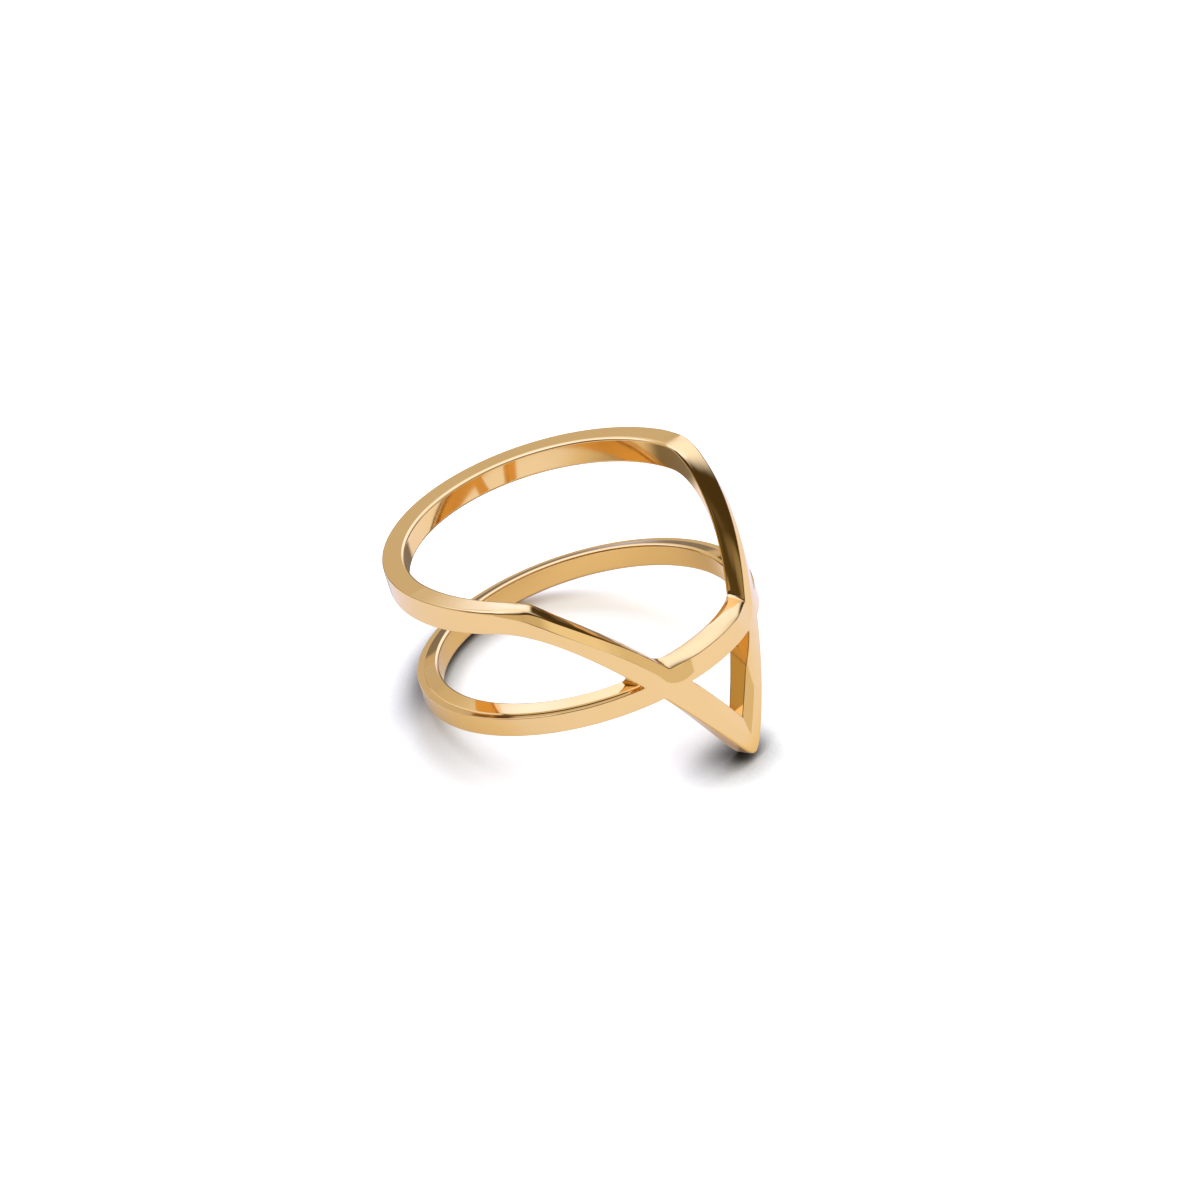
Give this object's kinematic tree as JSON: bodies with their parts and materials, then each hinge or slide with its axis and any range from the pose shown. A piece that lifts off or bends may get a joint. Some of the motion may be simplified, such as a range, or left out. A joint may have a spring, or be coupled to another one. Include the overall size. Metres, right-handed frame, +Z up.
{
  "type": "openwork chevron finger ring",
  "caption": "Gold finger ring whose upper loop dips in a V through a plain round band, worn as an open crossover ring.",
  "frame": {"origin": "centre of the base of the bounding box, on the surface that the ring lies on", "axes": "+Z up from that surface; the chevron face looks along -Y and the plain back of the ring is at +Y; the ring is mirror-symmetric about the plane x = 0; the finger axis lies in that plane and leans 18.1 degrees from +Z towards +Y"},
  "size_m": [0.02, 0.0234, 0.0122],
  "materials": {
    "yellow_gold": "polished"
  },
  "bodies": {
    "root": {"ring": "yellow_gold"}
  },
  "joints": []
}
